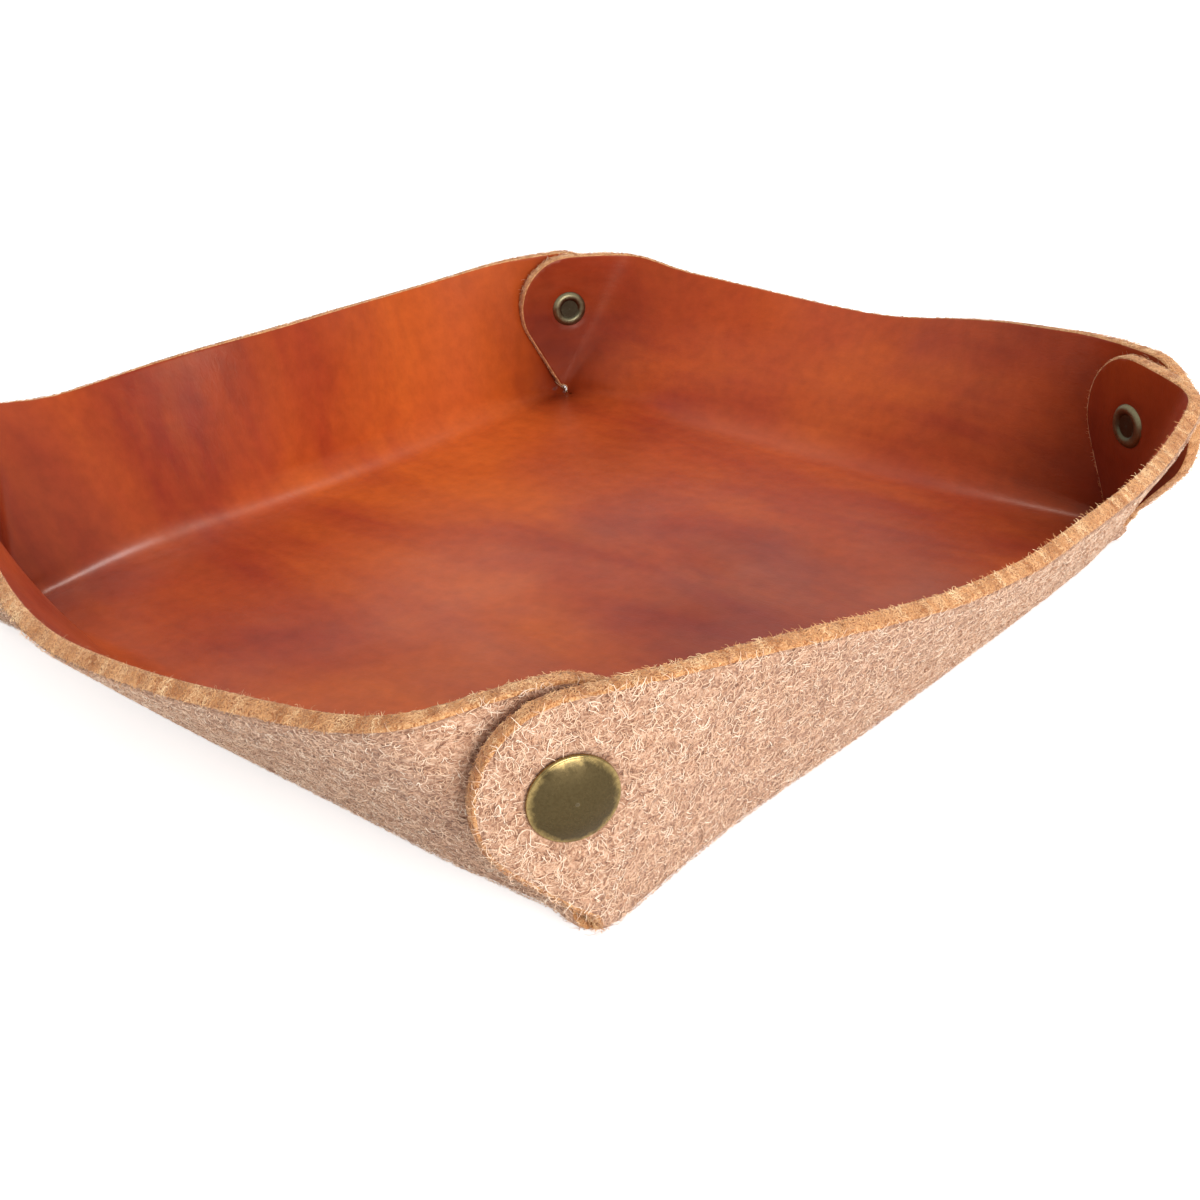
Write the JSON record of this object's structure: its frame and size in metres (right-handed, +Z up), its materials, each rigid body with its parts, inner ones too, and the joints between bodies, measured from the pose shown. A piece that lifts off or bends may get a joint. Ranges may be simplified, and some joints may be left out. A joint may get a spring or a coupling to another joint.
{
  "type": "valet tray",
  "caption": "Square leather catch-all tray folded from one thick sheet, walls held up by a press stud at each corner where an outer tab laps over an inner tab",
  "frame": {"origin": "middle of the square of fold lines, on the underside of the base", "axes": "+Z up; +X to the right wall, -Y to the front wall, both square to the fold lines"},
  "size_m": [0.2495, 0.2616, 0.0478],
  "materials": {
    "leather": "polished grain side, raw suede-like flesh side",
    "brass": "antique, darkened in the hollows",
    "spring_wire": "drawn wire"
  },
  "bodies": {
    "tray": {"leather_body": "leather", "snap_stud_front_right": "brass", "snap_post_front_right": "brass", "snap_stud_back_right": "brass", "snap_post_back_right": "brass", "snap_stud_back_left": "brass", "snap_post_back_left": "brass", "snap_stud_front_left": "brass", "snap_post_front_left": "brass"},
    "tab_front_right": {"outer_tab_front_right": "leather", "snap_cap_front_right": "brass", "snap_socket_front_right": "brass", "socket_spring_front_right": "spring_wire"},
    "tab_back_right": {"outer_tab_back_right": "leather", "snap_cap_back_right": "brass", "snap_socket_back_right": "brass", "socket_spring_back_right": "spring_wire"},
    "tab_back_left": {"outer_tab_back_left": "leather", "snap_cap_back_left": "brass", "snap_socket_back_left": "brass", "socket_spring_back_left": "spring_wire"},
    "tab_front_left": {"outer_tab_front_left": "leather", "snap_cap_front_left": "brass", "snap_socket_front_left": "brass", "socket_spring_front_left": "spring_wire"}
  },
  "joints": [
    {"name": "peel_front_right", "type": "hinge", "parent": "tray", "child": "tab_front_right", "pos_m": [0.10078, -0.09738, 0.0074], "axis": [0.2351, 0.4729, 0.8492], "range_deg": [0, 60], "deforming": ["socket_spring_front_right"]},
    {"name": "peel_back_right", "type": "hinge", "parent": "tray", "child": "tab_back_right", "pos_m": [0.09738, 0.10078, 0.0074], "axis": [-0.4729, 0.2351, 0.8492], "range_deg": [0, 60], "deforming": ["socket_spring_back_right"]},
    {"name": "peel_back_left", "type": "hinge", "parent": "tray", "child": "tab_back_left", "pos_m": [-0.10078, 0.09738, 0.0074], "axis": [-0.2351, -0.4729, 0.8492], "range_deg": [0, 60], "deforming": ["socket_spring_back_left"]},
    {"name": "peel_front_left", "type": "hinge", "parent": "tray", "child": "tab_front_left", "pos_m": [-0.09738, -0.10078, 0.0074], "axis": [0.4729, -0.2351, 0.8492], "range_deg": [0, 60], "deforming": ["socket_spring_front_left"]}
  ]
}
